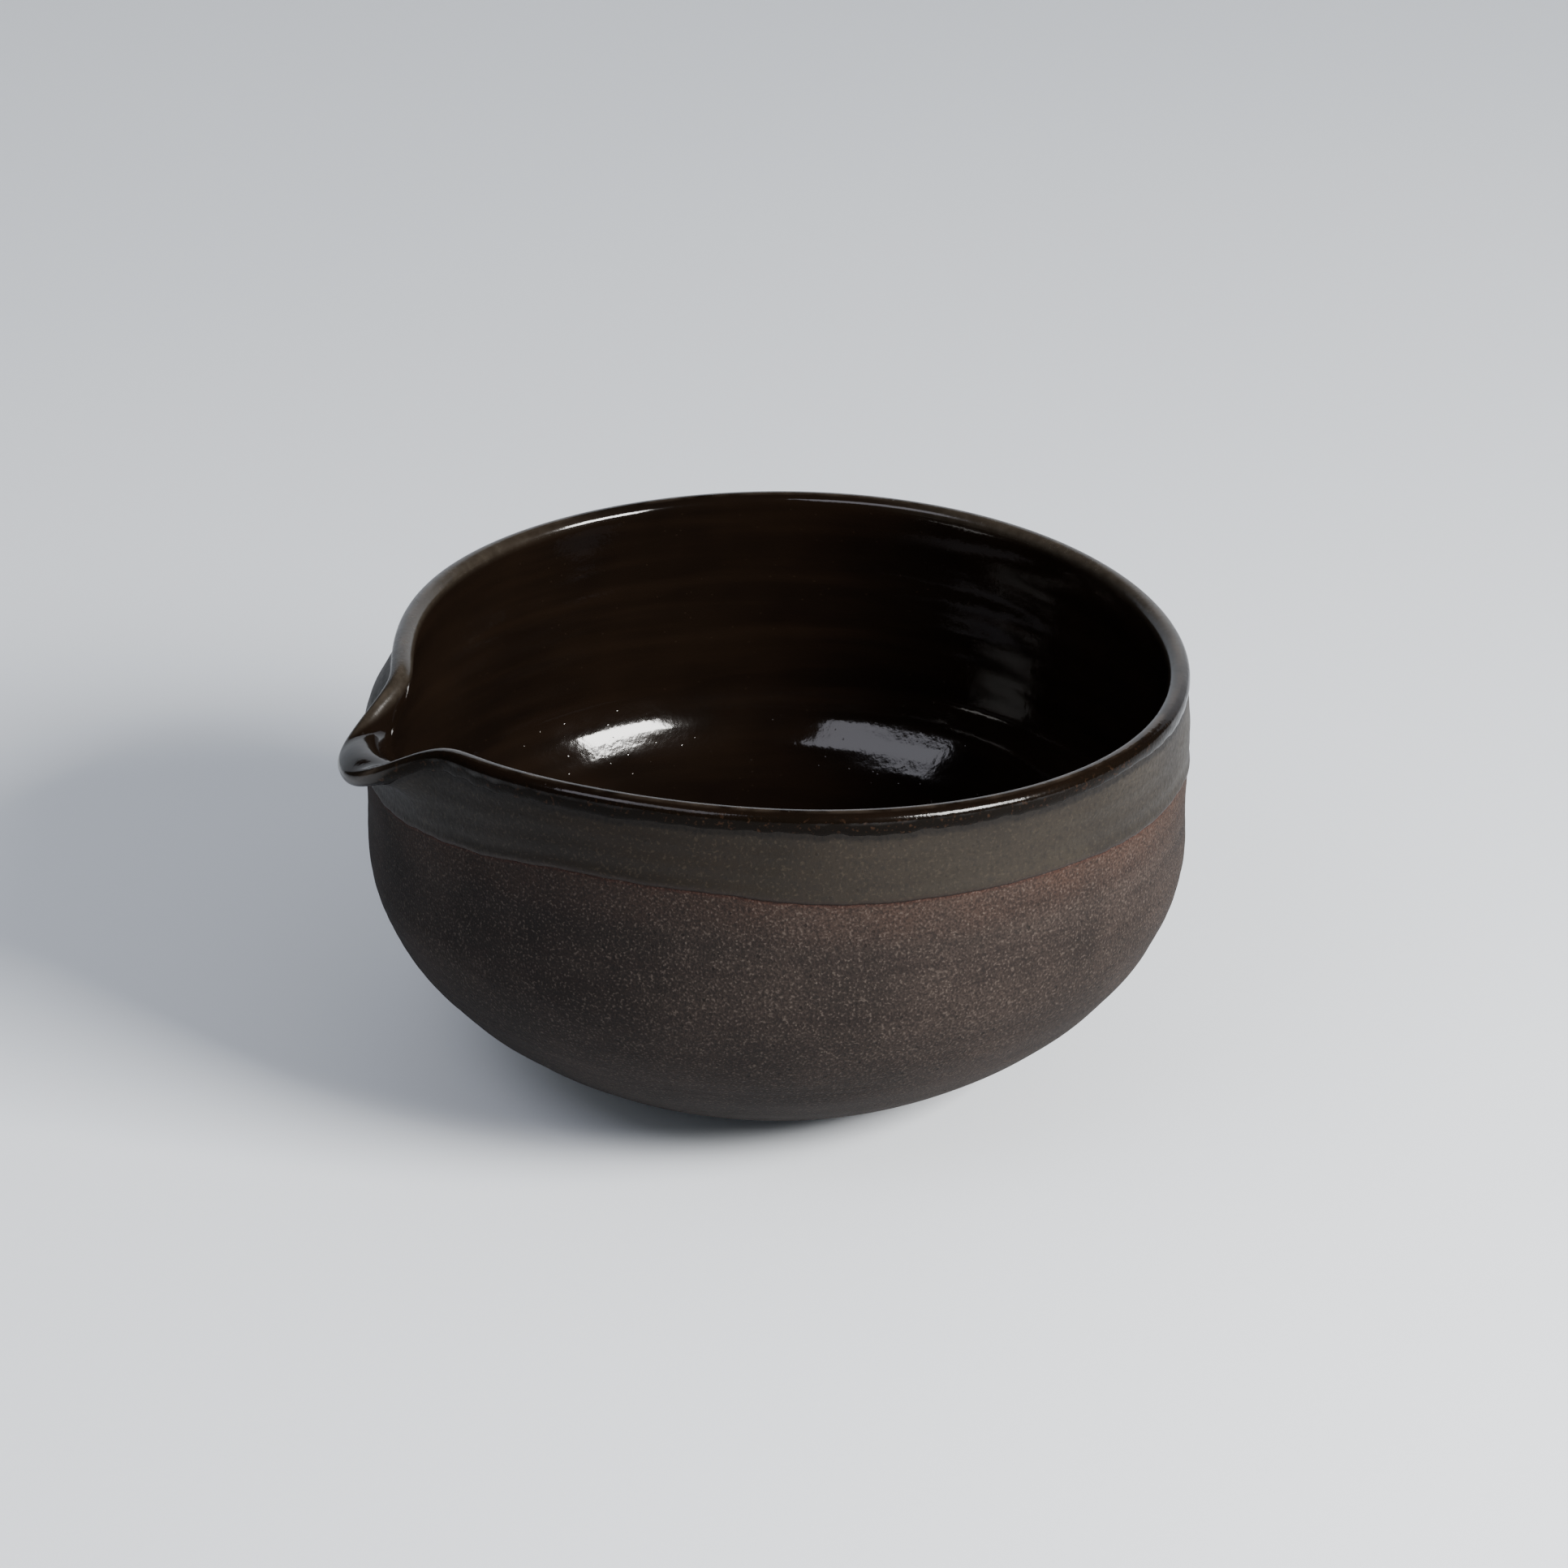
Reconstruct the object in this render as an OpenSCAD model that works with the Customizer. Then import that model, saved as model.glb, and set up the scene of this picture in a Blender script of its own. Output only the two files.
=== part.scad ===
// Hand-thrown pouring bowl (katakuchi) with a spout pulled from the rim.
// Origin: centre of the foot ring's resting plane. +Z is up and the spout pours towards -X.
// The belly and the foot are turned shapes. The rim and its spout are not round, so they are
// swept: every direction round the bowl has its own bent centre line for the wall.

/* [Bowl] */
// Outer diameter of the upright clay wall
wall_d = 129.8; // [120:0.2:140]
// Mean height of the rim above the surface the bowl stands on
rim_h = 70; // [66:1:76]
// Thickness of the thrown wall
wall_t = 2.8; // [2.2:0.1:3.2]
// Height where the upright wall starts to turn in to the belly
shoulder_h = 38; // [36:1:41]
// Roundness of the belly: 2 is an ellipse, more is squarer
belly_power = 1.86; // [1.7:0.02:2.2]
// Thickness of the floor inside the foot ring
floor_t = 4.4; // [3.6:0.2:6]

/* [Foot] */
// Outer diameter of the foot ring where it meets the belly
foot_d = 51; // [44:1:54]
// Width of the ring at the belly
foot_w = 7; // [5:0.5:9]
// Height of the ring, which is the depth of the recess inside it
foot_h = 1.6; // [1:0.2:2.4]

/* [Rim] */
// How far the rim leans in from the wall
rim_lean = 0.65; // [0:0.05:1.2]
// Slope of the rim, as the height that its high side gains
rim_tilt = 0.7; // [0:0.1:1.5]
// Warp of the rim, with two high and two low sides
rim_warp = 1; // [0:0.1:1.5]
// Out of round of the rim, as the radius that its long axis gains
rim_oval = 1.1; // [0:0.1:1.5]

/* [Spout] */
// How far the lip is pulled out over the wall
spout_reach = 10.4; // [8:0.2:11]
// How far the lip is pulled down below the rim
spout_drop = 6.5; // [5:0.1:7.5]
// Half the angle round the bowl that the pulled lip takes
spout_half_angle = 10.2; // [9:0.1:12]
// Angle through which the lip curls outwards and down
spout_curl = 140; // [110:5:150]
// How far the fingers pressed the wall in on the tight side of the spout
pinch_in = 4.3; // [0:0.1:5]
// How far the wall swelled out on the slack side of the spout
pinch_out = 1.6; // [0:0.1:2.5]

/* [Glaze] */
// Thickness of each glaze coat
glaze_t = 0.4; // [0.3:0.05:0.6]
// Mean depth of the outer glaze band below the rim
band_depth = 18.8; // [17:0.2:20.4]
// Slope of the dip line, as the height that its high side gains
dip_slope = 3.2; // [0:0.1:4]
// Extra height of the dip line beside the spout
dip_rise = 3.4; // [0:0.1:4]

/* [Hidden] */

CLAY = [0.21, 0.18, 0.165];
DARK_GLAZE = [0.07, 0.05, 0.035];
OLIVE_GLAZE = [0.24, 0.22, 0.19];

wall_r = wall_d / 2;
mid_r = wall_r - wall_t / 2;        // centre line of the upright wall
SWEPT_H = 14;                       // height of the swept rim above the turned belly
neck_h = rim_h - SWEPT_H;
BELLY_CUT = 0.873;                  // share of the belly's whole curve that the flat underside leaves
belly_depth = (shoulder_h - foot_h) / BELLY_CUT;
bowl_depth = shoulder_h - foot_h - floor_t;
FOOT_BEVEL = 0.9;                   // the ring's flanks slope in this much towards the resting face
ROUND = 180;                        // $fn of the turned pieces

// Directions round the bowl, in degrees from +X towards +Y. The spout is at 180.
SPOUT_AT = 180;
SPOUT_SPAN = 30;                    // the spout piece reaches this far each way
TILT_AT = 120;
WARP_AT = 42;
OVAL_AT = 117;
DIP_AT = 248;
RISE_AT = 221;

// Fingers beside the spout: where they press, and how widely each side of the rim gives way
PINCH_AT = 22;
PINCH_SPREAD = 35;
SWELL_SPREAD = 22;
PINCH_BLEND = 6;

PULL_POWER = 2.7;                   // how squarely the pull fades at the sides of the spout
CURL_SHARE = 0.74;                  // the curl fades sooner than the pull
THROAT_DIP = 1.4;                   // the rim sinks this much towards the spout
THINNING = 0.15;                    // share of its thickness that the pulled lip loses
GRIP = 0.455;                       // length of the centre line's handles, as a share of its chord
ROLL_OVER = 0.89;                   // how far up the outside of the rim the dark glaze ends
RISE_SPREAD = 28;                   // width of the rise in the dip line

// Steps along a belly curve, up a wall, over a lip, and down the outer glaze band
BELLY_STEPS = 20;
WALL_STEPS = 9;
LIP_STEPS = 6;
BAND_STEPS = 7;

// A smooth bump of height 1 at x = 0 that fades over the given width
function bump(x, width, power = 2) = exp(-pow(abs(x) / width, power));

// A switch from 0 to 1 as x passes 0
function switch(x, width) = 1 / (1 + exp(-x / width));

// Any angle as its equal between -180 and 180
function wrap(a) = (a + 900) % 360 - 180;

// Signed angle of direction a from the spout
function from_spout(a) = wrap(a - SPOUT_AT);

function pull(a) = bump(from_spout(a), spout_half_angle, PULL_POWER);

function past_fingers(a) = max(abs(from_spout(a)) - PINCH_AT, 0);

function pinch(a) =
    let (slack = switch(from_spout(a), PINCH_BLEND))
    pinch_in * (1 - slack) * bump(past_fingers(a), PINCH_SPREAD)
    - pinch_out * slack * bump(past_fingers(a), SWELL_SPREAD);

function rim_height(a) =
    rim_h + rim_tilt * cos(a - TILT_AT) + rim_warp * cos(2 * (a - WARP_AT));

// Half the thickness of the wall at s along its centre line, with a coat of glaze on each side
function half_t(a, s, coat) = wall_t / 2 * (1 - THINNING * pull(a) * s * s) + coat;

// Last point of the wall's centre line, as radius and height
function lip_end(a) = [
    mid_r - rim_lean + rim_oval * cos(2 * (a - OVAL_AT)) - pinch(a) + spout_reach * pull(a),
    rim_height(a) - wall_t / 2 - glaze_t
        - THROAT_DIP * bump(from_spout(a), PINCH_AT) - spout_drop * pull(a)
];

function curl(a) =
    spout_curl * bump(from_spout(a), CURL_SHARE * spout_half_angle, PULL_POWER);

// The wall's centre line is a Bezier curve that leaves the neck straight up
// and ends at the lip, turned outwards by the curl.
function handles(a) =
    let (start = [mid_r, neck_h], end = lip_end(a), grip = GRIP * norm(end - start))
    [start, start + [0, grip], end - grip * [sin(curl(a)), cos(curl(a))], end];

function along(a, s) =
    let (p = handles(a), t = 1 - s)
    t * t * t * p[0] + 3 * t * t * s * p[1] + 3 * t * s * s * p[2] + s * s * s * p[3];

function heading(a, s) =
    let (p = handles(a), t = 1 - s,
         v = t * t * (p[1] - p[0]) + 2 * t * s * (p[2] - p[1]) + s * s * (p[3] - p[2]))
    v / norm(v);

// Point beside the centre line: side 1 is the outside of the bowl, side -1 the inside.
// Below the neck (s < 0) the wall is upright, so the same rule runs on down.
function beside(a, s, side, coat) =
    let (v = heading(a, max(s, 0)), down = min(s, 0) * 3 * (handles(a)[1] - handles(a)[0]))
    along(a, max(s, 0)) + down + side * half_t(a, s, coat) * [v[1], -v[0]];

function steps_between(from, to, n) = [for (i = [0:n]) from + (to - from) * i / n];

function reversed(list) = [for (i = [len(list) - 1:-1:0]) list[i]];

// One side of the wall from place s to place t
function wall_side(a, s, t, side, coat, steps = WALL_STEPS) =
    [for (place = steps_between(s, t, steps)) beside(a, place, side, coat)];

// Half circle over the lip, from outside to inside, without its ends
function over_lip(a, coat) =
    let (v = heading(a, 1), out = [v[1], -v[0]], r = half_t(a, 1, coat))
    [for (i = [1:LIP_STEPS - 1]) let (q = 180 * i / LIP_STEPS)
        along(a, 1) + r * (cos(q) * out + sin(q) * v)];

// Height of the dip line of the outer glaze, and its place on the wall's centre line
function dip_line(a) =
    rim_h - band_depth + dip_slope * cos(a - DIP_AT) + dip_rise * bump(wrap(a - RISE_AT), RISE_SPREAD);

function dip_place(a) = (dip_line(a) - neck_h) / (3 * (handles(a)[1][1] - neck_h));

// Outlines of the swept pieces in direction a, as radius and height

function clay_outline(a) = concat(
    wall_side(a, 0, 1, 1, 0),
    over_lip(a, 0),
    wall_side(a, 1, 0, -1, 0)
);

// One face of the dark glaze, from its edge outside, over the lip and down the inside
function lip_coat(a, coat) = concat(
    wall_side(a, ROLL_OVER, 1, 1, coat, 2),
    over_lip(a, coat),
    wall_side(a, 1, 0, -1, coat)
);

function lip_glaze_outline(a) = concat(lip_coat(a, glaze_t), reversed(lip_coat(a, 0)));

function band_outline(a) = concat(
    wall_side(a, dip_place(a), ROLL_OVER, 1, glaze_t, BAND_STEPS),
    wall_side(a, ROLL_OVER, dip_place(a), 1, 0, BAND_STEPS)
);

// Directions of the outlines: closer together at the spout, where the wall bends most
RIM_DIRECTIONS = [for (a = [SPOUT_AT + SPOUT_SPAN:6:SPOUT_AT + 360 - SPOUT_SPAN]) a];
SPOUT_DIRECTIONS = [for (a = [SPOUT_AT - SPOUT_SPAN:2.5:SPOUT_AT + SPOUT_SPAN]) a];
ALL_DIRECTIONS = concat(
    [for (a = RIM_DIRECTIONS) if (a < SPOUT_AT + 360 - SPOUT_SPAN) a],
    [for (a = SPOUT_DIRECTIONS) if (a < SPOUT_AT + SPOUT_SPAN) a]
);

// Solid through one outline for each direction. A ring closes on itself;
// any other sweep is closed by its first and last outlines.
module sweep(outlines, directions, ring) {
    rows = len(directions);
    cols = len(outlines[0]);
    points = [
        for (i = [0:rows - 1]) for (p = outlines[i])
            [p[0] * cos(directions[i]), p[0] * sin(directions[i]), p[1]]
    ];
    skin = [
        for (i = [0:rows - (ring ? 1 : 2)]) for (j = [0:cols - 1])
            let (a = i * cols + j,
                 b = i * cols + (j + 1) % cols,
                 c = (i + 1) % rows * cols + j,
                 d = (i + 1) % rows * cols + (j + 1) % cols)
            each [[a, b, c], [b, d, c]]
    ];
    first = [for (j = [cols - 1:-1:0]) j];
    last = [for (j = [0:cols - 1]) (rows - 1) * cols + j];
    polyhedron(points, ring ? skin : concat(skin, [first, last]), convexity = 6);
}

// Quarter of a superellipse from its widest point down to angle t, as radius and height
function belly_curve(radius, depth, t) = [
    for (q = steps_between(0, t, BELLY_STEPS))
        [radius * pow(cos(q), 2 / belly_power), shoulder_h - depth * pow(sin(q), 2 / belly_power)]
];

// Inside of the bowl below the neck, from the wall down to the middle of the floor
function inner_curve(coat) = concat(
    [[wall_r - wall_t - coat, neck_h]],
    belly_curve(wall_r - wall_t - coat, bowl_depth - coat, 90)
);

module belly() {
    outside = concat(
        [[wall_r, neck_h]],
        belly_curve(wall_r, belly_depth, asin(pow(BELLY_CUT, belly_power / 2)))
    );
    color(CLAY)
        rotate_extrude($fn = ROUND)
            polygon(concat(outside, [[0, foot_h]], reversed(inner_curve(0))));
}

module rim() {
    color(CLAY)
        sweep([for (a = RIM_DIRECTIONS) clay_outline(a)], RIM_DIRECTIONS, false);
}

module spout() {
    color(CLAY)
        sweep([for (a = SPOUT_DIRECTIONS) clay_outline(a)], SPOUT_DIRECTIONS, false);
}

module foot_ring() {
    outer_r = foot_d / 2;
    inner_r = outer_r - foot_w;
    color(CLAY)
        rotate_extrude($fn = ROUND)
            polygon([
                [inner_r, foot_h],
                [inner_r + FOOT_BEVEL, 0],
                [outer_r - FOOT_BEVEL, 0],
                [outer_r, foot_h]
            ]);
}

module inner_glaze() {
    color(DARK_GLAZE)
        rotate_extrude($fn = ROUND)
            polygon(concat(inner_curve(0), reversed(inner_curve(glaze_t))));
}

module lip_glaze() {
    color(DARK_GLAZE)
        sweep([for (a = ALL_DIRECTIONS) lip_glaze_outline(a)], ALL_DIRECTIONS, true);
}

module band_glaze() {
    color(OLIVE_GLAZE)
        sweep([for (a = ALL_DIRECTIONS) band_outline(a)], ALL_DIRECTIONS, true);
}

belly();
rim();
spout();
foot_ring();
inner_glaze();
lip_glaze();
band_glaze();
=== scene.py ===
"""Looks of a hand-thrown pouring bowl with a spout pulled from its rim.

Three closed pieces: the bare clay body, the dark glaze that lines the bowl and rolls over the
rim, and the olive glaze band outside. Each is swept: every direction round the bowl has its own
outline of (radius, height) points, because the rim and spout are not round.
"""

import math

import bpy
import numpy as np
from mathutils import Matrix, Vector


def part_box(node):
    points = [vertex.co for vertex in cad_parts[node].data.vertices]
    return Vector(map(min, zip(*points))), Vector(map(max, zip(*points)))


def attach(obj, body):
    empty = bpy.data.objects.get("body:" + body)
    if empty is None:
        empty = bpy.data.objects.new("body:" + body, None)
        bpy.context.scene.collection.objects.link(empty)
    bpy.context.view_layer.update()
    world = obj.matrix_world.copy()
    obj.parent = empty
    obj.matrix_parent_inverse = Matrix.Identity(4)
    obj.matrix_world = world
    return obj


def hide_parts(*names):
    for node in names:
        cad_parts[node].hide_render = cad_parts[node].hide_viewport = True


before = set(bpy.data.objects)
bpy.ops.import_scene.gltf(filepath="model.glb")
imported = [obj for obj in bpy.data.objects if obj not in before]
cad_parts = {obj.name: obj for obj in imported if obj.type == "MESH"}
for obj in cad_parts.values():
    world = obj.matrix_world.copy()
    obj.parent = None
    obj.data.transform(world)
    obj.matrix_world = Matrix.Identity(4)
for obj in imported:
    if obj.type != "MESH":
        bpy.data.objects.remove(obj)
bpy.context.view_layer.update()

MM = 0.001

# Sizes read from the frame, in metres
belly_lo, belly_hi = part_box("belly")
inner_lo, inner_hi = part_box("inner_glaze")

WALL_R = belly_hi.x
WALL_T = WALL_R - inner_hi.x
MID_R = WALL_R - WALL_T / 2
GLAZE_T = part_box("band_glaze")[1].x - WALL_R
NECK_H = belly_hi.z
FOOT_H = belly_lo.z
FOOT_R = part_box("foot_ring")[1].x
FLOOR_H = inner_lo.z

# Sizes the frame doesn't hold: the swept rim, the upright wall below it, the belly and the foot
SWEPT_H = 14 * MM
UPRIGHT_H = 18 * MM
RIM_H = NECK_H + SWEPT_H
SHOULDER_H = NECK_H - UPRIGHT_H
BELLY_POWER = 1.86
BELLY_CUT = 0.873                   # share of the belly's whole curve that the flat underside leaves
BELLY_DEPTH = (SHOULDER_H - FOOT_H) / BELLY_CUT
BOWL_DEPTH = SHOULDER_H - FLOOR_H
FOOT_W = 7 * MM
FOOT_BEVEL = 0.9 * MM
FOOT_SOFT = 0.4 * MM

# Rim: lean, tilt, warp and out of round, with the direction of each in degrees
RIM_LEAN = 0.65 * MM
RIM_TILT = 0.7 * MM
TILT_AT = 120
RIM_WARP = 1.0 * MM
WARP_AT = 42
RIM_OVAL = 1.1 * MM
OVAL_AT = 117

# Spout: pulled out and down, pressed in on one side and swollen on the other
SPOUT_AT = 180
SPOUT_REACH = 10.4 * MM
SPOUT_DROP = 6.5 * MM
SPOUT_HALF_ANGLE = 10.2
SPOUT_CURL = 140
PULL_POWER = 2.7
CURL_SHARE = 0.74
THROAT_DIP = 1.4 * MM
THINNING = 0.15
GRIP = 0.455
PINCH_IN = 4.3 * MM
PINCH_OUT = 1.6 * MM
PINCH_AT = 22
PINCH_SPREAD = 35
SWELL_SPREAD = 22
PINCH_BLEND = 6

# Glaze: where the outer band starts, how the coats end, where the kiln marked them, and where
# painted light and painted reflection go
BAND_DEPTH = 18.8 * MM
DIP_SLOPE = 3.2 * MM
DIP_AT = 248
DIP_RISE = 3.4 * MM
RISE_AT = 221
RISE_SPREAD = 28
ROLL_OVER = 0.875
EMBED = 0.15 * MM                   # depth in the clay of a coat's hidden back
BAND_TUCK = 0.04                    # share of the wall that the band goes on under the dark glaze
# Side painted paler and warmer as painted light from the key, partly also the kiln's flashing
LIT_AND_FLASH_AT = -45
LIT_AND_FLASH_SPREAD = 62
# Where pale reflection and light are painted on the rim top, in degrees
REFLECTION_BY_THROAT = 142
REFLECTION_OPPOSITE = 8

# Directions of the outlines, in degrees: closer together round the spout
FINE_SPAN = 27
FINE_STEP = 0.6
WIDE_STEP = 1.2
DIRECTIONS = SPOUT_AT + np.concatenate([
    np.arange(-FINE_SPAN, FINE_SPAN, FINE_STEP),
    np.arange(FINE_SPAN, 360 - FINE_SPAN, WIDE_STEP),
])

# Turn of the camera away from the bowl's front, in degrees: the backdrop is turned with it
CAMERA_TURN = -22.4

# Sides of the wall
OUTSIDE = 1
INSIDE = -1


# ---------------------------------------------------------------- shape of the bowl

def bump(x, width, power=2.0):
    """A smooth bump of height 1 at x = 0 that fades over the given width."""
    return np.exp(-((np.abs(x) / width) ** power))


def switch(x, width):
    """A smooth switch from 0 to 1 as x passes 0."""
    return 1 / (1 + np.exp(-x / width))


def wrap(angle):
    """Any angle as its equal between -180 and 180."""
    return (angle + 180) % 360 - 180


def cos_deg(angle):
    return np.cos(np.radians(angle))


def sin_deg(angle):
    return np.sin(np.radians(angle))


def point(radius, height):
    """Points as an array whose last axis is (radius, height)."""
    return np.stack(np.broadcast_arrays(radius, height), axis=-1)


def pull(a):
    """How far the rim in direction a was pulled into the spout, from 0 to 1."""
    return bump(wrap(a - SPOUT_AT), SPOUT_HALF_ANGLE, PULL_POWER)


def pinch(a):
    """How far in the rim was pressed beside the spout: one side gives way, the other swells."""
    side = wrap(a - SPOUT_AT)
    past_fingers = np.maximum(np.abs(side) - PINCH_AT, 0)
    slack = switch(side, PINCH_BLEND)
    pressed = PINCH_IN * (1 - slack) * bump(past_fingers, PINCH_SPREAD)
    swollen = PINCH_OUT * slack * bump(past_fingers, SWELL_SPREAD)
    return pressed - swollen


def rim_height(a):
    """Height of the rim, tilted and warped, before the spout was pulled."""
    return RIM_H + RIM_TILT * cos_deg(a - TILT_AT) + RIM_WARP * cos_deg(2 * (a - WARP_AT))


def half_thickness(a, s):
    """Half the thickness of the wall at place s on its centre line."""
    return WALL_T / 2 * (1 - THINNING * pull(a) * s * s)


def lip_end(a):
    """Last point of the wall's centre line in direction a."""
    oval = RIM_OVAL * cos_deg(2 * (a - OVAL_AT))
    radius = MID_R - RIM_LEAN + oval - pinch(a) + SPOUT_REACH * pull(a)
    throat = THROAT_DIP * bump(wrap(a - SPOUT_AT), PINCH_AT)
    height = rim_height(a) - WALL_T / 2 - GLAZE_T - throat - SPOUT_DROP * pull(a)
    return point(radius, height)


def handles(a):
    """Bezier handles of the wall's centre line, from the neck straight up to the curled lip."""
    curl = SPOUT_CURL * bump(wrap(a - SPOUT_AT), CURL_SHARE * SPOUT_HALF_ANGLE, PULL_POWER)
    start = point(MID_R + 0 * a, NECK_H)
    end = lip_end(a)
    grip = GRIP * np.linalg.norm(end - start, axis=-1)
    leaving = start + point(0 * a, grip)
    arriving = end - point(grip * sin_deg(curl), grip * cos_deg(curl))
    return start, leaving, arriving, end


def centre_line(a, s):
    """Point of the wall's centre line in direction a, at place s from 0 at the neck to 1."""
    p0, p1, p2, p3 = handles(a)
    s = s[..., None]
    t = 1 - s
    return t ** 3 * p0 + 3 * t * t * s * p1 + 3 * t * s * s * p2 + s ** 3 * p3


def heading(a, s):
    """Unit vector along the centre line at place s."""
    p0, p1, p2, p3 = handles(a)
    s = s[..., None]
    t = 1 - s
    v = t * t * (p1 - p0) + 2 * t * s * (p2 - p1) + s * s * (p3 - p2)
    return v / np.linalg.norm(v, axis=-1, keepdims=True)


def rise_per_place(a):
    """Height gained by one unit of place where the centre line leaves the neck."""
    start, first = handles(a)[:2]
    return 3 * (first - start)[..., 1]


def wall_side(places, side):
    """Surface of the wall at the given places, OUTSIDE or INSIDE."""
    s = np.broadcast_to(places, (len(DIRECTIONS), np.shape(places)[-1]))
    a = np.broadcast_to(DIRECTIONS[:, None], s.shape)
    up = np.maximum(s, 0)
    v = heading(a, up)
    drop = point(0 * a, np.minimum(s, 0) * rise_per_place(a))
    beside = side * half_thickness(a, s)[..., None] * point(v[..., 1], -v[..., 0])
    return centre_line(a, up) + drop + beside


def over_lip(steps):
    """Half circle over the lip, from outside to inside, without its ends."""
    q = np.linspace(0, 180, steps + 1)[1:-1]
    a = np.broadcast_to(DIRECTIONS[:, None], (len(DIRECTIONS), len(q)))
    top = np.ones_like(a)
    v = heading(a, top)
    out = point(v[..., 1], -v[..., 0])
    turn = cos_deg(q)[:, None] * out + sin_deg(q)[:, None] * v
    return centre_line(a, top) + half_thickness(a, top)[..., None] * turn


def belly_curve(radius, depth, turn):
    """Superellipse from the shoulder down, at the given angles along it."""
    c = np.clip(cos_deg(turn), 0, 1)
    r = radius * c ** (2 / BELLY_POWER)
    z = SHOULDER_H - depth * np.abs(sin_deg(turn)) ** (2 / BELLY_POWER)
    return point(r, z)


def everywhere(profile):
    """One profile repeated in every direction."""
    return np.broadcast_to(profile, (len(DIRECTIONS),) + profile.shape)


def line(start, end, steps):
    """Straight line of points, without its last one."""
    s = np.linspace(0, 1, steps + 1)[:-1, None]
    return np.array(start) * (1 - s) + np.array(end) * s


def rounded(start, tip, end, steps):
    """Rounded corner from start to end that bends towards tip, without its last point."""
    s = np.linspace(0, 1, steps + 1)[:-1, None]
    t = 1 - s
    return t * t * np.array(start) + 2 * t * s * np.array(tip) + s * s * np.array(end)


def foot_profile():
    """Underside: the recess, the ring with its soft edges, and out to the belly."""
    soft = FOOT_SOFT
    steps = 6
    inner_top = FOOT_R - FOOT_W
    inner = inner_top + FOOT_BEVEL
    outer = FOOT_R - FOOT_BEVEL
    return np.concatenate([
        line((0, FOOT_H), (inner_top - soft, FOOT_H), 4 * steps),
        rounded((inner_top - soft, FOOT_H), (inner_top, FOOT_H), (inner - soft, soft), steps),
        rounded((inner - soft, soft), (inner, 0), (inner + soft, 0), steps),
        line((inner + soft, 0), (outer - soft, 0), steps + 2),
        rounded((outer - soft, 0), (outer, 0), (outer + soft, soft), steps),
        rounded((outer + soft, soft), (FOOT_R, FOOT_H), (FOOT_R + soft, FOOT_H), steps),
    ])


def outside_below_neck(curve_points, upright_steps):
    """Outside of the clay from the flat underside up to the neck."""
    cut = math.degrees(math.asin(BELLY_CUT ** (BELLY_POWER / 2)))
    curve = belly_curve(WALL_R, BELLY_DEPTH, np.linspace(cut, 0, curve_points))
    upright = line((WALL_R, SHOULDER_H), (WALL_R, NECK_H), upright_steps)
    return np.concatenate([curve[:-1], upright])


def inside_below_neck(curve_points):
    """Inside of the clay from the neck down to the middle of the floor."""
    radius = WALL_R - WALL_T
    upright = line((radius, NECK_H), (radius, SHOULDER_H), curve_points // 3)
    curve = belly_curve(radius, BOWL_DEPTH, np.linspace(0, 90, curve_points))
    curve[-1, 0] = 0
    return np.concatenate([upright, curve])


def over_and_inside(lip_steps, wall_steps, curve_points):
    """Over the lip, down the inner wall and to the middle of the floor."""
    places = np.linspace(1, 0, wall_steps + 1)[:-1]
    return np.concatenate([
        over_lip(lip_steps),
        wall_side(places, INSIDE),
        everywhere(inside_below_neck(curve_points)),
    ], axis=1)


# ---------------------------------------------------------------- marks of the hand and wheel

def wander(a, height, seed, turns, reach=20 * MM):
    """Smooth seeded noise of size about 1 that closes on itself round the bowl.

    turns is the most waves that fit round it, and reach is the shortest wave in height.
    """
    waves = 24
    rng = np.random.default_rng(seed)
    total = 0 * a + 0 * height
    for _ in range(waves):
        lobes = rng.integers(0, turns + 1)
        pitch = rng.uniform(-1, 1) / reach
        phase = rng.uniform(0, 2 * math.pi)
        total = total + np.cos(lobes * np.radians(a) + 2 * math.pi * pitch * height + phase)
    return total / math.sqrt(waves / 2)


def normals(outline):
    """Outward unit normals of an outline whose solid lies to its left."""
    step = np.gradient(outline, axis=1)
    shortest = 1e-9
    step /= np.maximum(np.linalg.norm(step, axis=-1, keepdims=True), shortest)
    return point(step[..., 1], -step[..., 0])


def run_length(outline):
    """Distance along each outline from its first point."""
    step = np.linalg.norm(np.diff(outline, axis=1), axis=-1)
    return np.concatenate([np.zeros((len(outline), 1)), np.cumsum(step, axis=1)], axis=1)


def ripple(x, pitch, shift):
    """A wave from -1 to 1 that repeats every pitch of x."""
    return np.sin(2 * math.pi * x / pitch + shift)


def turning_marks(outline):
    """Depth of the marks outside: fine tool grooves low down, soft finger waves above."""
    groove_depth = 0.055 * MM
    groove_pitch = 2.3 * MM
    wave_depth = 0.07 * MM
    wave_pitch = 9 * MM
    dent_depth = 0.05 * MM
    a = DIRECTIONS[:, None] + 0 * outline[..., 0]
    r = outline[..., 0]
    z = outline[..., 1]
    run = run_length(outline)
    groove_top = SHOULDER_H + 4 * MM
    ring_edge = FOOT_R + 3 * MM
    low = switch(groove_top - z, 4 * MM)
    off_ring = switch(r - ring_edge, 0.6 * MM)
    spiral = run + groove_pitch * a / 360
    unsteady = 1.3 * wander(a, z, seed=3, turns=2, reach=12 * MM)
    groove = 0.5 + 0.5 * ripple(spiral, groove_pitch, unsteady)
    patch = 0.5 + 0.5 * np.tanh(wander(a, z, seed=4, turns=3, reach=10 * MM))
    wave = 0.5 + 0.5 * ripple(run, wave_pitch, wander(a, z, seed=5, turns=2, reach=30 * MM))
    dents = 1 + np.tanh(wander(a, z, seed=6, turns=14, reach=9 * MM))
    grooves = groove_depth * groove * patch * low
    return off_ring * (grooves + wave_depth * wave + dent_depth * dents)


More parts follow.
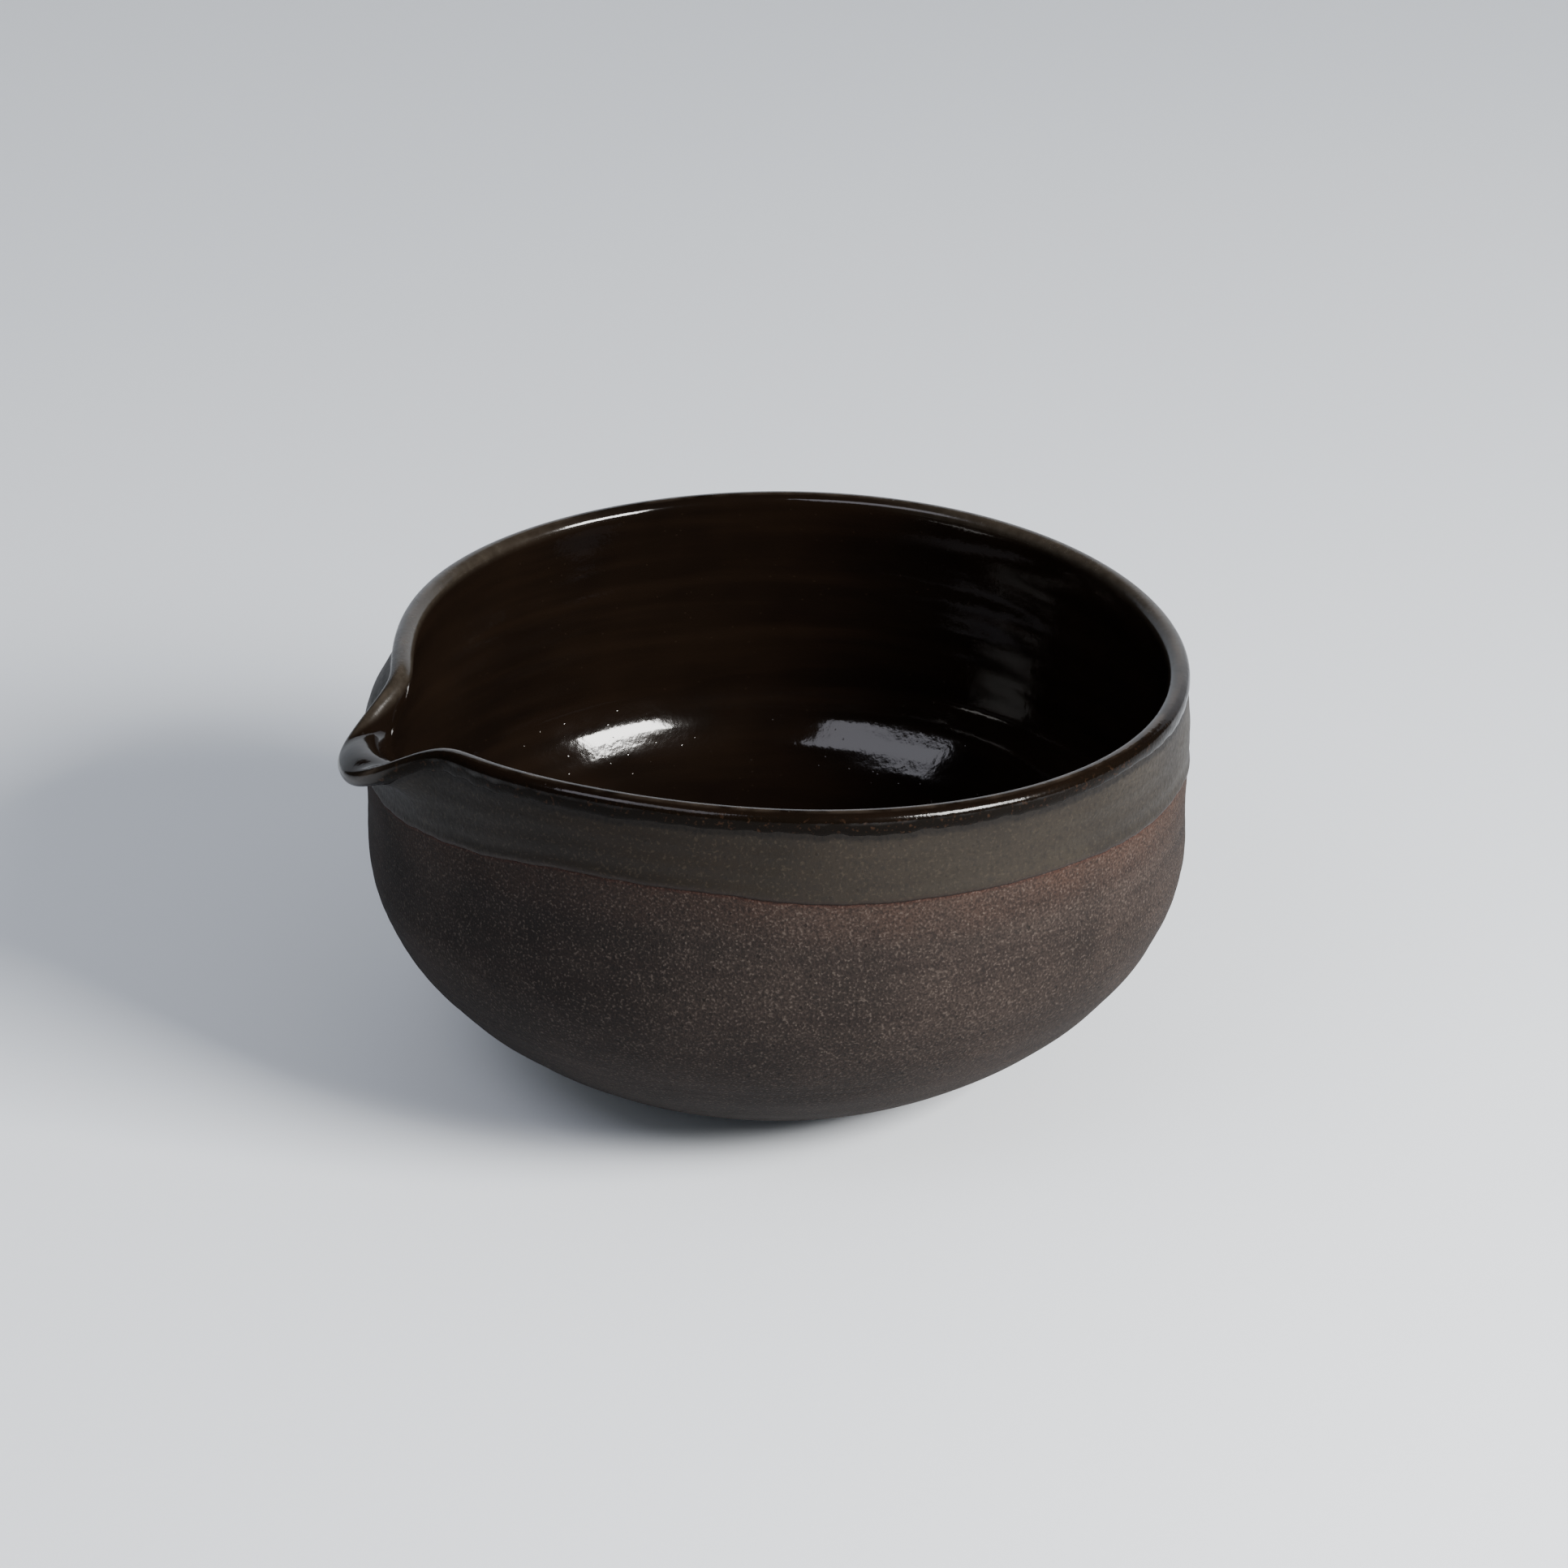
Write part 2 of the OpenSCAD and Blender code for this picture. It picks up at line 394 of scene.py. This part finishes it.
def throwing_rings(outline):
    """Depth of the finger rings inside the bowl, one long spiral."""
    ring_pitch = 5.2 * MM
    fine_pitch = 1.9 * MM
    dent_depth = 0.03 * MM
    a = DIRECTIONS[:, None] + 0 * outline[..., 0]
    r = outline[..., 0]
    z = outline[..., 1]
    run = run_length(outline)
    wall_starts = 30 * MM
    rings_end = NECK_H + 3 * MM
    on_wall = switch(z - wall_starts, 5 * MM)
    below_rim = switch(rings_end - z, 2 * MM)
    off_axis = 1 - bump(r, 6 * MM)
    ring_depth = (0.024 + 0.03 * on_wall) * MM
    fine_depth = (0.002 + 0.006 * on_wall) * MM
    spiral = run + ring_pitch * a / 360
    ring = ripple(spiral, ring_pitch, 0.8 * wander(a, z, seed=7, turns=2, reach=25 * MM))
    fine = ripple(run, fine_pitch, wander(a, z, seed=8, turns=3, reach=15 * MM))
    dents = wander(a, z, seed=9, turns=7)
    return (ring_depth * ring + fine_depth * fine + dent_depth * dents) * below_rim * off_axis


def dip_line(a):
    """Height where the olive glaze starts, with the waver of a hand dip."""
    slope = DIP_SLOPE * cos_deg(a - DIP_AT)
    rise = DIP_RISE * bump(wrap(a - RISE_AT), RISE_SPREAD)
    waver = 0.22 * MM * wander(a, 0 * a, seed=11, turns=16)
    ragged = 0.06 * MM * wander(a, 0 * a, seed=12, turns=90)
    return RIM_H - BAND_DEPTH + slope + rise + waver + ragged


def painted_rim_reflection(a):
    """1 where a pale reflection and light are painted on the top of the rim, by the throat and
    opposite it.
    """
    by_throat = bump(wrap(a - REFLECTION_BY_THROAT), width=40, power=4)
    opposite = bump(wrap(a - REFLECTION_OPPOSITE), width=36, power=4)
    return np.maximum(by_throat, opposite)


def lit_side_and_flash_share(a):
    """1 on the side facing the key light, 0 away from it: that side is painted paler and warmer,
    which is painted light and partly also the kiln's warmer flashing.
    """
    return bump(wrap(a - LIT_AND_FLASH_AT), LIT_AND_FLASH_SPREAD)


def roll_over(a):
    """Place on the wall where the dark glaze ends outside, with its broken edge."""
    waver = 0.016 * wander(a, 0 * a, seed=13, turns=20)
    ragged = 0.009 * wander(a, 0 * a, seed=14, turns=110)
    return ROLL_OVER + waver + ragged


# ---------------------------------------------------------------- meshes

def without_unused(faces):
    """The point numbers that faces use, and the faces renumbered to match."""
    kept = sorted({n for face in faces for n in face})
    fresh = {old: new for new, old in enumerate(kept)}
    return kept, [[fresh[n] for n in face] for face in faces]


def piece(name, stands_for, outline, facts, poles=True):
    """Closed mesh through one outline for each direction, riding on the bowl.

    An outline with poles starts and ends on the axis; any other closes on itself.
    facts are values kept on every point for the material to read.
    """
    rows, cols = outline.shape[:2]
    a = DIRECTIONS[:, None]
    xyz = np.stack([
        outline[..., 0] * cos_deg(a),
        outline[..., 0] * sin_deg(a),
        outline[..., 1],
    ], axis=-1)
    number = np.arange(rows * cols).reshape(rows, cols)
    if poles:
        number[:, 0] = number[0, 0]
        number[:, -1] = number[0, -1]
    else:
        number = np.concatenate([number, number[:, :1]], axis=1)
    onward = np.roll(number, -1, axis=0)
    quads = np.stack([number[:, :-1], onward[:, :-1], onward[:, 1:], number[:, 1:]], axis=-1)
    faces = [list(dict.fromkeys(quad)) for quad in quads.reshape(-1, 4).tolist()]
    kept, faces = without_unused(faces)
    mesh = bpy.data.meshes.new(name)
    mesh.from_pydata(xyz.reshape(-1, 3)[kept].tolist(), [], faces)
    mesh.polygons.foreach_set("use_smooth", [True] * len(mesh.polygons))
    for fact, values in facts.items():
        values = np.broadcast_to(values, (rows, cols)).reshape(-1)[kept]
        attribute = mesh.attributes.new(fact, "FLOAT", "POINT")
        attribute.data.foreach_set("value", values.astype(np.float32))
    obj = bpy.data.objects.new(name, mesh)
    bpy.context.scene.collection.objects.link(obj)
    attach(obj, "root")
    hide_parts(*stands_for)
    return obj


def clay_body():
    """The bare clay, marked outside by the wheel and left coarse where the glaze hides it."""
    outside = np.concatenate([
        everywhere(foot_profile()),
        everywhere(outside_below_neck(curve_points=90, upright_steps=36)),
        wall_side(np.linspace(0, 1, 41), OUTSIDE),
    ], axis=1)
    outside = outside - normals(outside) * turning_marks(outside)[..., None]
    hidden = over_and_inside(lip_steps=10, wall_steps=12, curve_points=24)
    outline = np.concatenate([outside, hidden], axis=1)
    outline[:, 0] = (0, FOOT_H)
    facts = {
        "below_dip": dip_line(DIRECTIONS)[:, None] - outline[..., 1],
        "lit_side_and_flash": lit_side_and_flash_share(DIRECTIONS)[:, None],
    }
    stands_for = ("belly", "rim", "spout", "foot_ring")
    return piece("clay_body", stands_for, outline, facts)


def back_then_front(back, front):
    """One row of values along the back of a coat, from its last point, and on along its front."""
    return np.concatenate([back[:, ::-1], front[:, 1:]], axis=1)


def front_then_back(front, back):
    """One row of values along the front of a coat, and home along its back."""
    return np.concatenate([front, back[:, ::-1]], axis=1)


def dark_glaze_coat():
    """The dark glaze, from its feathered edge outside, over the lip, to the middle of the floor.

    It drew off the crest of the lip while it was molten, and lies thinner there.
    """
    feather = 0.6 * MM
    lost_at_crest = 0.35
    crest_spread = 1.6 * MM
    edge = roll_over(DIRECTIONS)[:, None]
    up = edge + (1 - edge) * np.linspace(0, 1, 14)[None, :]
    outside = wall_side(up, OUTSIDE)
    inside = over_and_inside(lip_steps=16, wall_steps=30, curve_points=60)
    base = np.concatenate([outside, inside], axis=1)
    run = run_length(base)
    half_of_lip = math.pi / 2 * WALL_T / 2
    crest = run_length(outside)[:, -1:] + half_of_lip
    from_crest = run - crest
    thinned = 1 - lost_at_crest * bump(from_crest, crest_spread)
    thickness = GLAZE_T * (1 - np.exp(-run / feather)) * thinned
    out = normals(base)
    front = base + out * (thickness + throwing_rings(base))[..., None]
    back = base - out * EMBED
    front[:, -1] = (0, FLOOR_H + GLAZE_T)
    back[:, -1] = (0, FLOOR_H - EMBED)
    outline = back_then_front(back, front)
    # Pale patches of painted reflection and light on the top of the rim
    rim_reflection_patch = painted_rim_reflection(DIRECTIONS)[:, None] * bump(from_crest, width=2.1 * MM, power=6)
    facts = {
        "from_crest": back_then_front(from_crest, from_crest),
        "from_edge": back_then_front(run, run),
        "rim_reflection_patch": back_then_front(rim_reflection_patch, rim_reflection_patch),
    }
    stands_for = ("inner_glaze", "lip_glaze")
    return piece("dark_glaze_coat", stands_for, outline, facts)


def band_thickness(base, run, to_top):
    """Thickness of the olive band: a rounded, swollen lower edge, a waved face and a thin top."""
    a = DIRECTIONS[:, None] + 0 * run
    z = base[..., 1]
    swollen = 0.24
    swollen_at = 0.8 * MM
    lost_at_top = 0.62
    wave_depth = 0.05 * MM
    drag_depth = 0.03 * MM
    drag_pitch = 3.4 * MM
    swell = 1 - swollen + swollen * bump(run - swollen_at, 0.9 * MM)
    rounding = np.sqrt(1 - bump(run, 0.35 * MM))
    thinned = 1 - lost_at_top * bump(to_top, 2.4 * MM)
    waves = wave_depth * (np.tanh(wander(a, z, seed=21, turns=12, reach=10 * MM)) - 1)
    drag = drag_depth * (ripple(run, drag_pitch, wander(a, z, seed=22, turns=3)) - 1)
    above_edge = 1 - bump(run, 1.2 * MM)
    thickness = (GLAZE_T * swell * rounding + above_edge * (waves + drag)) * thinned
    deepest = -EMBED / 3
    return np.maximum(thickness, deepest)


def olive_glaze_band():
    """The olive glaze outside, from the dip line up to under the edge of the dark glaze."""
    crowding = 1.25
    bottom = (dip_line(DIRECTIONS) - NECK_H) / rise_per_place(DIRECTIONS)
    top = roll_over(DIRECTIONS) + BAND_TUCK
    share = np.linspace(0, 1, 91) ** crowding
    places = bottom[:, None] + (top - bottom)[:, None] * share[None, :]
    base = wall_side(places, OUTSIDE)
    run = run_length(base)
    to_top = run[:, -1:] - run
    out = normals(base)
    front = base + out * band_thickness(base, run, to_top)[..., None]
    back = base - out * EMBED
    outline = front_then_back(front, back)
    facts = {
        "lit_side_and_flash": lit_side_and_flash_share(DIRECTIONS)[:, None],
        "above_dip": front_then_back(run, run),
        "below_roll": front_then_back(to_top, to_top),
    }
    return piece("olive_glaze_band", ("band_glaze",), outline, facts, poles=False)


# ---------------------------------------------------------------- materials

def tone(red, green, blue):
    """Colour from 0 to 255 display values, as the linear values that a shader takes."""
    shares = [v / 255 for v in (red, green, blue)]
    return [s / 12.92 if s <= 0.04045 else ((s + 0.055) / 1.055) ** 2.4 for s in shares] + [1]


class Finish:
    """Short calls that build the nodes of one material."""

    def __init__(self, name):
        self.material = bpy.data.materials.new(name)
        self.material.use_nodes = True
        self.tree = self.material.node_tree
        self.shader = self.tree.nodes["Principled BSDF"]
        self.where = self.tree.nodes.new("ShaderNodeTexCoord").outputs["Object"]

    def node(self, kind, **inputs):
        """New node with the given inputs."""
        made = self.tree.nodes.new(kind)
        for name, value in inputs.items():
            self.feed(made.inputs[name], value)
        return made

    def feed(self, socket, value):
        """Link an input to another node's output, or give it a constant."""
        if isinstance(value, bpy.types.NodeSocket):
            self.tree.links.new(value, socket)
        else:
            socket.default_value = value

    def set(self, name, value):
        """Feed an input of the shader."""
        self.feed(self.shader.inputs[name], value)

    def squashed(self, x, y, z):
        """Coordinates scaled on each axis, to stretch a texture."""
        return self.node("ShaderNodeMapping", Vector=self.where, Scale=(x, y, z)).outputs["Vector"]

    def noise(self, size, detail=3.0, where=None):
        """Noise whose blotches are about the given size in metres."""
        where = where or self.where
        made = self.node("ShaderNodeTexNoise", Vector=where, Scale=1 / size, Detail=detail)
        return made.outputs["Fac"]

    def flecks(self, size, radius, where=None):
        """1 in round flecks of a radius that is a share of their spacing, else 0."""
        cells = self.node("ShaderNodeTexVoronoi", Vector=where or self.where, Scale=1 / size)
        return self.between(cells.outputs["Distance"], radius, 0.6 * radius)

    def between(self, value, start, end):
        """0 up to start, 1 from end on, and a ramp between them; end may be the lower one."""
        ramp = self.node("ShaderNodeMapRange", Value=value)
        ramp.inputs["From Min"].default_value = start
        ramp.inputs["From Max"].default_value = end
        return ramp.outputs["Result"]

    def scaled(self, value, low, high):
        """Value from 0 to 1 turned into a value from low to high."""
        ramp = self.node("ShaderNodeMapRange", Value=value)
        ramp.inputs["To Min"].default_value = low
        ramp.inputs["To Max"].default_value = high
        return ramp.outputs["Result"]

    def fact(self, name):
        """Value kept on the mesh's points."""
        made = self.tree.nodes.new("ShaderNodeAttribute")
        made.attribute_name = name
        return made.outputs["Fac"]

    def math(self, operation, *values):
        """Result of a maths node on the given values."""
        made = self.tree.nodes.new("ShaderNodeMath")
        made.operation = operation
        for socket, value in zip(made.inputs, values):
            self.feed(socket, value)
        return made.outputs["Value"]

    def both(self, first, second):
        """Product of two shares."""
        return self.math("MULTIPLY", first, second)

    def mix(self, share, first, second):
        """Colour that goes from the first to the second as share goes from 0 to 1."""
        made = self.tree.nodes.new("ShaderNodeMix")
        made.data_type = "RGBA"
        self.feed(made.inputs["Factor"], share)
        colours = [socket for socket in made.inputs if socket.type == "RGBA"]
        self.feed(colours[0], first)
        self.feed(colours[1], second)
        return [socket for socket in made.outputs if socket.type == "RGBA"][0]

    def over(self, body, share, strength, colour):
        """Colour of the body with another laid over it, as far as share times strength."""
        return self.mix(self.scaled(share, 0, strength), body, colour)

    def relief(self, height, depth, under=None):
        """Bump from a height of 0 to 1 that stands for the given depth in metres."""
        made = self.node("ShaderNodeBump", Height=height, Strength=1, Distance=depth)
        if under is not None:
            self.feed(made.inputs["Normal"], under)
        return made.outputs["Normal"]


def bare_clay():
    """Dark grey-brown stoneware: sandy, with pale grit, and paler and warmer on the key light's
    side, which is painted light and partly the kiln's flashing.
    """
    f = Finish("bare_clay")
    blotch = f.between(f.noise(15 * MM, 4), 0.36, 0.66)
    body = f.mix(blotch, tone(22, 18, 16), tone(34, 28, 25))
    # Painted light: paler and warmer on the key light's side, partly the kiln's flashing
    lit_side_warmth = f.both(f.fact("lit_side_and_flash"), f.between(f.noise(19 * MM, 3), 0.2, 0.6))
    body = f.mix(lit_side_warmth, body, tone(47, 39, 35))
    rings = f.noise(2.0 * MM, 3, f.squashed(0.06, 0.06, 1))
    body = f.over(body, f.between(rings, 0.48, 0.72), 0.55, tone(26, 20, 18))
    near_glaze = f.both(f.between(f.fact("below_dip"), 8 * MM, 0), f.noise(6 * MM))
    # The kiln's red flash below the dip line is painted stronger on the key light's side, which is
    # partly painted light
    near_glaze = f.both(near_glaze, f.scaled(f.fact("lit_side_and_flash"), 0.5, 1.6))
    body = f.over(body, near_glaze, 0.7, tone(56, 39, 31))
    hairline = f.between(f.fact("below_dip"), 0.7 * MM, 0.2 * MM)
    body = f.over(body, hairline, 0.5, tone(48, 25, 19))
    grain = f.noise(0.42 * MM, 3)
    body = f.over(body, f.between(grain, 0.52, 0.38), 0.6, tone(16, 13, 12))
    sand = f.between(grain, 0.57, 0.68)
    body = f.over(body, sand, 0.4, tone(80, 72, 66))
    grit = f.flecks(1.7 * MM, 0.12)
    body = f.over(body, grit, 0.3, tone(88, 80, 72))
    pits = f.flecks(3.1 * MM, 0.13, f.squashed(1.13, 0.94, 1.07))
    body = f.over(body, pits, 0.6, tone(12, 9, 8))
    f.set("Base Color", body)
    f.set("Roughness", f.scaled(grain, 0.7, 0.95))
    f.set("Specular IOR Level", 0.12)
    skin = f.relief(grain, 0.14 * MM)
    lines = f.relief(rings, 0.05 * MM, skin)
    f.set("Normal", f.relief(f.math("SUBTRACT", grit, pits), 0.06 * MM, lines))
    return f.material


def dark_glaze():
    """Tenmoku-like gloss: nearly black, broken brown at its edge, paler at the crest where it breaks
    thin and where a highlight is painted, and with painted reflection on the rim top.
    """
    f = Finish("dark_glaze")
    cloud = f.between(f.noise(26 * MM, 3), 0.4, 0.7)
    body = f.mix(cloud, tone(11, 7, 5), tone(17, 11, 7))
    rings = f.noise(3.0 * MM, 2, f.squashed(0.1, 0.1, 1))
    body = f.over(body, f.between(rings, 0.45, 0.8), 0.4, tone(24, 16, 10))
    # Paler along the crest: partly the glaze breaking thin there, partly a painted highlight line
    crest = f.between(f.math("ABSOLUTE", f.fact("from_crest")), 0.8 * MM, 0.1 * MM)
    crest_break_and_highlight = f.both(crest, f.between(f.noise(4 * MM, 4), 0.35, 0.65))
    body = f.over(body, crest_break_and_highlight, 0.5, tone(66, 58, 50))
    thin = f.between(f.fact("from_edge"), 0.7 * MM, 0)
    broken = f.both(thin, f.between(f.noise(0.8 * MM, 3), 0.42, 0.6))
    body = f.over(body, broken, 0.35, tone(36, 28, 21))
    outside = f.between(f.fact("from_edge"), 3.2 * MM, 1.8 * MM)
    body = f.over(body, outside, 0.75, tone(8, 6, 4))
    rust = f.between(f.fact("from_edge"), 3.2 * MM, 1.6 * MM)
    rust = f.both(rust, f.between(f.noise(0.7 * MM, 2), 0.6, 0.7))
    body = f.over(body, rust, 0.6, tone(44, 30, 20))
    specks = f.flecks(1.9 * MM, 0.10)
    body = f.over(body, specks, 0.3, tone(36, 28, 21))
    # Painted reflection: pale matt patches on the rim top, by the throat and opposite it
    rim_reflection_patch = f.both(f.fact("rim_reflection_patch"), f.scaled(f.noise(1.4 * MM, 3), 0.2, 0.9))
    body = f.mix(rim_reflection_patch, body, tone(52, 47, 40))
    f.set("Base Color", body)
    haze = f.scaled(f.noise(5 * MM, 4), 0.05, 0.13)
    rough = f.math("ADD", haze, f.scaled(outside, 0, 0.08))
    f.set("Roughness", f.math("ADD", rough, f.scaled(rim_reflection_patch, 0, 0.3)))
    f.set("Specular IOR Level", f.scaled(outside, 0.42, 0.04))
    skin = f.relief(f.noise(1.1 * MM, 2), 0.02 * MM)
    skin = f.relief(f.both(outside, f.noise(0.6 * MM, 2)), 0.045 * MM, skin)
    f.set("Normal", f.relief(specks, 0.015 * MM, skin))
    return f.material


def olive_glaze():
    """Thin satin glaze: olive brown, drawn round the wall, darker under the rim, and paler and
    warmer on the key light's side as painted light, partly the kiln's flashing.
    """
    f = Finish("olive_glaze")
    cloud = f.between(f.noise(14 * MM, 4, f.squashed(1, 1, 2)), 0.35, 0.68)
    body = f.mix(cloud, tone(16, 12, 8), tone(23, 18, 13))
    # Painted light: paler and warmer on the key light's side, partly the kiln's flashing
    lit_side_warmth = f.both(f.fact("lit_side_and_flash"), f.between(f.noise(17 * MM, 3), 0.15, 0.55))
    body = f.mix(lit_side_warmth, body, tone(35, 30, 23))
    streaks = f.noise(2.2 * MM, 3, f.squashed(0.12, 0.12, 1))
    body = f.over(body, f.between(streaks, 0.45, 0.8), 0.5, tone(24, 19, 14))
    mottle = f.noise(0.7 * MM, 3)
    body = f.over(body, f.between(mottle, 0.5, 0.66), 0.5, tone(19, 16, 13))
    sand = f.between(f.noise(0.5 * MM, 2), 0.57, 0.68)
    body = f.over(body, sand, 0.3, tone(56, 49, 39))
    edge = f.between(f.fact("above_dip"), 1.0 * MM, 0.1 * MM)
    body = f.over(body, edge, 0.6, tone(30, 19, 15))
    dusk = f.between(f.fact("below_roll"), 1.6 * MM, 1.0 * MM)
    body = f.over(body, dusk, 0.85, tone(13, 9, 6))
    spill = f.both(dusk, f.between(f.noise(0.7 * MM, 3), 0.5, 0.6))
    body = f.over(body, spill, 0.9, tone(9, 6, 4))
    specks = f.flecks(2.4 * MM, 0.13)
    body = f.over(body, specks, 0.4, tone(16, 12, 9))
    f.set("Base Color", body)
    f.set("Roughness", f.scaled(mottle, 0.4, 0.66))
    f.set("Specular IOR Level", 0.15)
    skin = f.relief(mottle, 0.06 * MM)
    drag = f.relief(streaks, 0.04 * MM, skin)
    f.set("Normal", f.relief(specks, 0.03 * MM, drag))
    return f.material


def pale_paper():
    """Matt cool-white paper, faintly clouded."""
    f = Finish("pale_paper")
    cloud = f.noise(350 * MM, 3)
    f.set("Base Color", f.mix(cloud, tone(208, 213, 219), tone(216, 220, 225)))
    f.set("Roughness", f.scaled(f.noise(3 * MM), 0.7, 0.85))
    f.set("Normal", f.relief(f.noise(2 * MM), 0.02 * MM))
    return f.material


# ---------------------------------------------------------------- studio

def card(name, corners, finish):
    """Flat piece of the studio, with the given corners and material."""
    mesh = bpy.data.meshes.new(name)
    mesh.from_pydata(corners, [], [(0, 1, 2, 3)])
    mesh.materials.append(finish)
    obj = bpy.data.objects.new(name, mesh)
    bpy.context.scene.collection.objects.link(obj)
    return obj


def floor(paper):
    """Paper that the bowl stands on, a hair below its foot so that the faces don't coincide."""
    half = 3.0
    z = -0.05 * MM
    corners = [(-half, -half, z), (half, -half, z), (half, half, z), (-half, half, z)]
    card("floor", corners, paper)


def backdrop(paper):
    """Upright paper behind the bowl and out of the picture, for the rim to mirror."""
    behind = 1.3
    half = 1.6
    height = 0.95
    corners = [
        (-half, behind, 0),
        (half, behind, 0),
        (half, behind, height),
        (-half, behind, height),
    ]
    obj = card("backdrop", corners, paper)
    obj.rotation_euler = (0, 0, math.radians(CAMERA_TURN))


def from_bowl(azimuth, elevation, distance, centre):
    """Place seen from centre at an azimuth from +X towards +Y and a height angle, in degrees."""
    a = math.radians(azimuth)
    e = math.radians(elevation)
    towards = Vector((math.cos(e) * math.cos(a), math.cos(e) * math.sin(a), math.sin(e)))
    return centre + distance * towards


def softbox(name, azimuth, elevation, width, height, power, colour):
    """Area light that faces the bowl; width and height are the angles that it fills there."""
    distance = 0.9
    light = bpy.data.lights.new(name, "AREA")
    light.shape = "RECTANGLE"
    light.size = 2 * distance * math.tan(math.radians(width / 2))
    light.size_y = 2 * distance * math.tan(math.radians(height / 2))
    light.energy = power
    light.color = colour
    obj = bpy.data.objects.new(name, light)
    centre = Vector((0, 0, RIM_H))
    obj.location = from_bowl(azimuth, elevation, distance, centre)
    obj.rotation_euler = (centre - obj.location).to_track_quat("-Z", "Y").to_euler()
    bpy.context.scene.collection.objects.link(obj)


def room():
    """Cool light from all round that the glaze doesn't mirror."""
    world = bpy.data.worlds.new("room")
    world.use_nodes = True
    background = world.node_tree.nodes["Background"]
    background.inputs["Color"].default_value = (0.91, 0.94, 1.0, 1)
    background.inputs["Strength"].default_value = 0.6
    bpy.context.scene.world = world
    world.cycles_visibility.glossy = False


def camera():
    """Long lens, a metre away, that looks down on the bowl with the spout to the left."""
    elevation = 23
    distance = 1.02
    below_level = 24.23
    right_of_centre = 0.07
    data = bpy.data.cameras.new("camera")
    data.sensor_width = 36
    data.lens = 149.07
    obj = bpy.data.objects.new("camera", data)
    obj.location = from_bowl(CAMERA_TURN - 90, elevation, distance, Vector((0, 0, RIM_H)))
    pitch = math.radians(90 - below_level)
    turn = math.radians(CAMERA_TURN - right_of_centre)
    obj.rotation_euler = (pitch, 0, turn)
    bpy.context.scene.collection.objects.link(obj)
    bpy.context.scene.camera = obj


clay_body().data.materials.append(bare_clay())
dark_glaze_coat().data.materials.append(dark_glaze())
olive_glaze_band().data.materials.append(olive_glaze())
paper = pale_paper()
floor(paper)
backdrop(paper)
softbox("key", -59, 28.5, width=26, height=17, power=29, colour=(1.0, 0.98, 0.95))
softbox("fill", -153.6, 47, width=36, height=21, power=2.2, colour=(0.89, 0.89, 1.0))
room()
camera()
